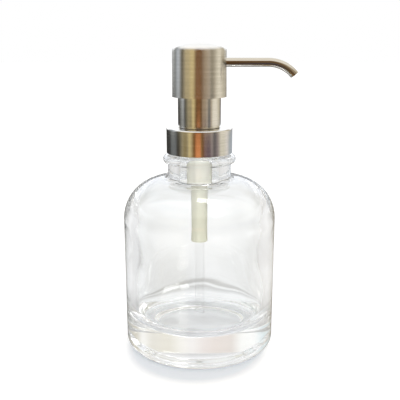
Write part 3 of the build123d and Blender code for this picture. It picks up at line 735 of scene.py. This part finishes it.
def thread_height(tree, given, x, y, z):
    """How far the screw thread stands out at a point; lengths along it are counted in turns."""
    turn = calc(tree, "DIVIDE", calc(tree, "ARCTAN2", y, x), AROUND)
    climbed = calc(tree, "SUBTRACT", z, given["Thread Low"])
    climbed = calc(tree, "DIVIDE", climbed, given["Thread Pitch"])
    lap = calc(tree, "ROUND", calc(tree, "SUBTRACT", climbed, turn))
    along = calc(tree, "ADD", lap, turn)
    off_ridge = calc(tree, "ABSOLUTE", calc(tree, "SUBTRACT", climbed, along))
    ridge = calc(tree, "SUBTRACT", 1.0, band(tree, off_ridge, *RIDGE))
    begun = band(tree, along, 0.0, RUN_OUT)
    last = given["Thread Turns"]
    ended = band(tree, along, last, calc(tree, "ADD", last, RUN_OUT))
    share = calc(tree, "MULTIPLY", ridge, begun)
    share = calc(tree, "MULTIPLY", share, calc(tree, "SUBTRACT", 1.0, ended))
    deep = calc(tree, "MULTIPLY", named(tree, "threaded"), given["Thread Depth"])
    return calc(tree, "MULTIPLY", share, deep)


def wave_height(tree, given):
    """How far the soft waves that a mould leaves push the inner wall in or out."""
    place = add(tree, "GeometryNodeInputPosition").outputs[0]
    wave = noise(tree, place, calc(tree, "DIVIDE", 1.0, given["Wave Size"]), 1.0)
    wave = calc(tree, "MULTIPLY", calc(tree, "SUBTRACT", wave, 0.5), given["Wave Depth"])
    return calc(tree, "MULTIPLY", wave, named(tree, "wavy"))


# %% The lathe
AXIS_R = 1e-7  # the outline holds the radius, so it is swept around next to nothing
WELD = 1e-6  # points closer than this become one


def lathe_tree():
    """Outline in (radius, height) to a closed turned mesh, with optional thread and waves."""
    tree = bpy.data.node_groups.new("lathe", "GeometryNodeTree")
    socket(tree, "Outline", "NodeSocketGeometry")
    socket(tree, "Segments", "NodeSocketInt", 256)
    socket(tree, "Corner Points", "NodeSocketInt", 8)
    socket(tree, "Thread Depth", "NodeSocketFloat", 0.0)
    socket(tree, "Thread Pitch", "NodeSocketFloat", 1.0)
    socket(tree, "Thread Turns", "NodeSocketFloat", 1.0)
    socket(tree, "Thread Low", "NodeSocketFloat", 0.0)
    socket(tree, "Wave Depth", "NodeSocketFloat", 0.0)
    socket(tree, "Wave Size", "NodeSocketFloat", 0.02)
    socket(tree, "Material", "NodeSocketMaterial")
    tree.interface.new_socket("Turned", in_out="OUTPUT", socket_type="NodeSocketGeometry")
    given = add(tree, "NodeGroupInput").outputs

    curve = add(tree, "GeometryNodeMeshToCurve", None, {"Mesh": given["Outline"]}).outputs[0]
    corner = {"Curve": curve, "Count": given["Corner Points"], "Radius": named(tree, "rounding")}
    rounded = add(tree, "GeometryNodeFilletCurve", {"mode": "POLY"}, corner).outputs[0]
    axis = {"Resolution": given["Segments"], "Radius": AXIS_R}
    circle = add(tree, "GeometryNodeCurvePrimitiveCircle", None, axis).outputs[0]
    sweep = {"Curve": circle, "Profile Curve": rounded}
    skin = add(tree, "GeometryNodeCurveToMesh", None, sweep).outputs[0]
    place = add(tree, "GeometryNodeInputPosition").outputs[0]
    x, y, z = add(tree, "ShaderNodeSeparateXYZ", None, {0: place}).outputs
    outward = vector_math(tree, "NORMALIZE", {0: join_xyz(tree, x, y, 0.0)})
    thread = thread_height(tree, given, x, y, z)
    stand_out = calc(tree, "ADD", thread, wave_height(tree, given))
    push = vector_math(tree, "SCALE", {0: outward, "Scale": stand_out})
    moved = add(tree, "GeometryNodeSetPosition", None, {"Geometry": skin, "Offset": push})
    merging = {"Geometry": moved.outputs[0], "Distance": WELD}
    closed = add(tree, "GeometryNodeMergeByDistance", None, merging).outputs[0]
    hand_out(tree, closed, given["Material"])
    return tree


LATHE = lathe_tree()
print("lathe:", len(LATHE.nodes), "nodes")


# %% From live modifiers to a mesh
def set_inputs(modifier, values):
    """Set a Geometry Nodes modifier's inputs by name, through each socket's identifier."""
    for item in modifier.node_group.interface.items_tree:
        if item.in_out == "INPUT" and item.name in values:
            modifier[item.identifier] = values[item.name]


def to_mesh(piece):
    """Replace a piece's live modifiers by the mesh that they make."""
    bpy.context.view_layer.update()
    live = piece.evaluated_get(bpy.context.evaluated_depsgraph_get())
    made = bpy.data.meshes.new_from_object(live)
    piece.modifiers.clear()
    piece.data = made
    made.name = piece.name
    return piece


def outward_faces(mesh):
    """Make every face of a closed mesh point outwards."""
    work = bmesh.new()
    work.from_mesh(mesh)
    bmesh.ops.recalc_face_normals(work, faces=work.faces)
    work.to_mesh(mesh)
    work.free()


# %% Turn a piece
def turned_piece(name, outline, material, closed=False, **inputs):
    """Turn an outline of (radius, height, rounding, marks) corners; marks are threaded or wavy."""
    mesh = bpy.data.meshes.new(name)
    count = len(outline)
    edges = [(i, (i + 1) % count) for i in range(count if closed else count - 1)]
    # a swept outline's own y points down the axis
    mesh.from_pydata([(corner[0], -corner[1], 0) for corner in outline], edges, [])
    rounding = mesh.attributes.new("rounding", "FLOAT", "POINT")
    rounding.data.foreach_set("value", [corner[2] for corner in outline])
    for mark in ("threaded", "wavy"):
        layer = mesh.attributes.new(mark, "FLOAT", "POINT")
        layer.data.foreach_set("value", [float(mark in corner[3:]) for corner in outline])
    piece = bpy.data.objects.new(name, mesh)
    scene.collection.objects.link(piece)
    lathe = piece.modifiers.new("lathe", "NODES")
    lathe.node_group = LATHE
    set_inputs(lathe, {"Material": material, **inputs})
    to_mesh(piece)
    outward_faces(piece.data)
    weighted = piece.modifiers.new("normals", "WEIGHTED_NORMAL")
    weighted.weight = 100
    to_mesh(piece)
    low, high = (Vector(f(v.co[i] for v in piece.data.vertices) for i in range(3)) for f in (min, max))
    print(name, len(piece.data.polygons), "faces", [round(c / MM, 2) for c in (*low, *high)])
    return piece


# %% Light paths
# light runs to and fro in thick glass: with too few turns, its edges would go black
scene.cycles.max_bounces = 64
scene.cycles.glossy_bounces = 64
scene.cycles.transmission_bounces = 64

# %% Glass finish
glass, tree, shader = new_material("clear_glass")
shader.inputs["Base Color"].default_value = (0.985, 0.995, 0.99, 1)
shader.inputs["Roughness"].default_value = 0.0
shader.inputs["Transmission Weight"].default_value = 1.0
shader.inputs["IOR"].default_value = 1.5
print("glass:", glass.name, "with", scene.cycles.max_bounces, "bounces")

# %% Sizes of the jar
jar_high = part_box("glass_bottle")[1]
body_r = jar_high.x
rim_z = jar_high.z
WALL = 6.0 * MM
WALL_BULGE = 1.2 * MM
SHOULDER_WALL = 3.0 * MM
INNER_SHOULDER_ROUND = 15.0 * MM
BASE = 14.0 * MM
PUSH_UP_R = 24.5 * MM
PUSH_UP_H = 1.5 * MM
PUSH_UP_ROUND = 6.0 * MM
HEEL_ROUND = 4.0 * MM
FLOOR_ROUND = 9.5 * MM
SHOULDER_ROUND = 20.0 * MM
SHOULDER_SLOPE = radians(6)
NECK_R = 15.9 * MM
NECK_ROUND = 2.5 * MM
NECK_H = 8.0 * MM
BEAD_PROUD = 2.4 * MM
BEAD_H = 4.0 * MM
BEAD_ROUND = 1.9 * MM
FINISH_R = 12.6 * MM
FINISH_H = 9.0 * MM
BORE_R = 10.0 * MM
RIM_ROUND = 0.7 * MM
SMALL_ROUND = 0.3 * MM
THREAD_DEPTH = 1.2 * MM
THREAD_PITCH = 4.233 * MM
THREAD_TURNS = 1.15
THREAD_BELOW_RIM = 1.2 * MM  # from the rim's rounding down to the thread's end
WAVE_CLEAR = 2 * MM  # the waves stop this far from the roundings

bead_top = rim_z - FINISH_H
bead_low = bead_top - BEAD_H
neck_foot = bead_low - NECK_H
shoulder_top = neck_foot - (body_r - NECK_R) * tan(SHOULDER_SLOPE)
inner_r = body_r - WALL
inner_shoulder = shoulder_top - SHOULDER_WALL / cos(SHOULDER_SLOPE) + WALL * tan(SHOULDER_SLOPE)
inner_neck = inner_shoulder + (inner_r - BORE_R) * tan(SHOULDER_SLOPE)
print("jar: shoulder", round(shoulder_top / MM, 1), "mm up, inside radius", round(inner_r / MM, 1))

# %% Outline of the jar
THREAD_ROWS = 40
WAVE_ROWS = 24
thread_foot = bead_top + SMALL_ROUND * 2
thread_reach = FINISH_H - RIM_ROUND * 2 - SMALL_ROUND * 2
thread_rows = [
    (FINISH_R, thread_foot + thread_reach * i / THREAD_ROWS, 0, "threaded")
    for i in range(THREAD_ROWS + 1)
]
wall_top = inner_shoulder - INNER_SHOULDER_ROUND - WAVE_CLEAR
wall_low = BASE + FLOOR_ROUND + WAVE_CLEAR
wave_rows = []
for i in range(WAVE_ROWS + 1):
    thicker = WALL_BULGE * sin(pi * i / WAVE_ROWS) ** 2
    wave_rows.append((inner_r - thicker, wall_top - (wall_top - wall_low) * i / WAVE_ROWS, 0, "wavy"))
jar_outline = [
    (0, PUSH_UP_H, 0),
    (PUSH_UP_R - PUSH_UP_H, PUSH_UP_H, PUSH_UP_ROUND),
    (PUSH_UP_R + PUSH_UP_H, 0, PUSH_UP_ROUND),
    (body_r, 0, HEEL_ROUND),
    (body_r, shoulder_top, SHOULDER_ROUND),
    (NECK_R, neck_foot, NECK_ROUND),
    (NECK_R, bead_low, SMALL_ROUND),
    (NECK_R + BEAD_PROUD, bead_low, BEAD_ROUND),
    (NECK_R + BEAD_PROUD, bead_top, BEAD_ROUND),
    (FINISH_R, bead_top, SMALL_ROUND),
    *thread_rows,
    (FINISH_R, rim_z, RIM_ROUND),
    (BORE_R, rim_z, RIM_ROUND),
    (BORE_R, inner_neck, NECK_ROUND),
    (inner_r, inner_shoulder, INNER_SHOULDER_ROUND),
    *wave_rows,
    (inner_r, BASE, FLOOR_ROUND),
    (0, BASE, 0),
]
print("outline:", len(jar_outline), "corners")

# %% Turn the jar
jar = turned_piece(
    "glass_jar",
    jar_outline,
    glass,
    **{
        "Segments": 256,
        "Corner Points": 12,
        "Thread Depth": THREAD_DEPTH,
        "Thread Pitch": THREAD_PITCH,
        "Thread Turns": THREAD_TURNS,
        "Thread Low": rim_z - RIM_ROUND - THREAD_BELOW_RIM - THREAD_PITCH * THREAD_TURNS,
        "Wave Depth": 0.5 * MM,
        "Wave Size": 20 * MM,
    },
)
glass_only.objects.link(jar)
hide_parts("glass_bottle")
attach(jar, "bottle")

# %% [markdown]
# ## Return spring
# A compression spring is wire coiled on a mandrel, with its end turns closed so that it stands flat.
# The CAD spring is one even helix.  Geometry Nodes coil the wire instead: each point along it is
# placed by its turn number, and the pitch is close at both ends and open between.  Pressing the head
# shortens it, which a rigid piece can't show.


# %% A coiler in Geometry Nodes
CLOSE_PITCH = 2.1  # wire radii from one closed turn to the next, so that they nearly touch


def coil_tree():
    """Wire coiled up around Z, with closed end turns."""
    tree = bpy.data.node_groups.new("coiler", "GeometryNodeTree")
    socket(tree, "Geometry", "NodeSocketGeometry")
    socket(tree, "Turns", "NodeSocketFloat", 9.0)
    socket(tree, "Closed Turns", "NodeSocketFloat", 1.0)
    socket(tree, "Coil Radius", "NodeSocketFloat", 0.01)
    socket(tree, "Wire Radius", "NodeSocketFloat", 0.001)
    socket(tree, "Low", "NodeSocketFloat", 0.0)
    socket(tree, "Rise", "NodeSocketFloat", 0.03)
    socket(tree, "Points per Turn", "NodeSocketInt", 40)
    socket(tree, "Material", "NodeSocketMaterial")
    tree.interface.new_socket("Coiled", in_out="OUTPUT", socket_type="NodeSocketGeometry")
    given = add(tree, "NodeGroupInput").outputs
    count = calc(tree, "ROUND", calc(tree, "MULTIPLY", given["Turns"], given["Points per Turn"]))
    line = add(tree, "GeometryNodeCurvePrimitiveLine").outputs[0]
    wire = add(tree, "GeometryNodeResampleCurve", None, {"Curve": line, "Count": count}).outputs[0]
    index = add(tree, "GeometryNodeInputIndex").outputs[0]
    turn = calc(tree, "DIVIDE", index, calc(tree, "SUBTRACT", count, 1.0))
    turn = calc(tree, "MULTIPLY", turn, given["Turns"])

    # height: the closed turns come first, and the open ones share what is left
    ends = calc(tree, "MULTIPLY", given["Closed Turns"], 2.0)
    close_pitch = calc(tree, "MULTIPLY", given["Wire Radius"], CLOSE_PITCH)
    open_turns = calc(tree, "SUBTRACT", given["Turns"], ends)
    open_rise = calc(tree, "SUBTRACT", given["Rise"], calc(tree, "MULTIPLY", ends, close_pitch))
    open_pitch = calc(tree, "DIVIDE", open_rise, open_turns)
    past_low = calc(tree, "MAXIMUM", calc(tree, "SUBTRACT", turn, given["Closed Turns"]), 0.0)
    opened = calc(tree, "MINIMUM", past_low, open_turns)
    shut = calc(tree, "SUBTRACT", turn, opened)
    height_up = calc(tree, "MULTIPLY_ADD", shut, close_pitch, given["Low"])
    height_up = calc(tree, "MULTIPLY_ADD", opened, open_pitch, height_up)

    angle = calc(tree, "MULTIPLY", turn, AROUND)
    x = calc(tree, "MULTIPLY", calc(tree, "COSINE", angle), given["Coil Radius"])
    y = calc(tree, "MULTIPLY", calc(tree, "SINE", angle), given["Coil Radius"])
    placing = {"Geometry": wire, "Position": join_xyz(tree, x, y, height_up)}
    coiled = add(tree, "GeometryNodeSetPosition", None, placing).outputs[0]
    section = {"Resolution": 16, "Radius": given["Wire Radius"]}
    round_wire = add(tree, "GeometryNodeCurvePrimitiveCircle", None, section).outputs[0]
    sweep = {"Curve": coiled, "Profile Curve": round_wire, "Fill Caps": True}
    skin = add(tree, "GeometryNodeCurveToMesh", None, sweep).outputs[0]
    hand_out(tree, skin, given["Material"])
    return tree


# %% Coil the spring
WIRE_R = 0.35 * MM
SPRING_TURNS = 9.0
spring_low, spring_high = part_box("return_spring")
spring = bpy.data.objects.new("coil_spring", bpy.data.meshes.new("coil_spring"))
scene.collection.objects.link(spring)
coiler = spring.modifiers.new("coiler", "NODES")
coiler.node_group = coil_tree()
coil = {
    "Turns": SPRING_TURNS,
    "Closed Turns": 1.0,
    "Coil Radius": spring_high.x - WIRE_R,
    "Wire Radius": WIRE_R,
    "Low": spring_low.z + WIRE_R,
    "Rise": spring_high.z - spring_low.z - 2 * WIRE_R,
    "Points per Turn": 40,
    "Material": spring_wire,
}
set_inputs(coiler, coil)
to_mesh(spring)
outward_faces(spring.data)
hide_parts("return_spring")
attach(spring, "pump")
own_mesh(spring)
print("spring", len(spring.data.polygons), "faces, foot at", round(spring_low.z / MM, 2), "mm")
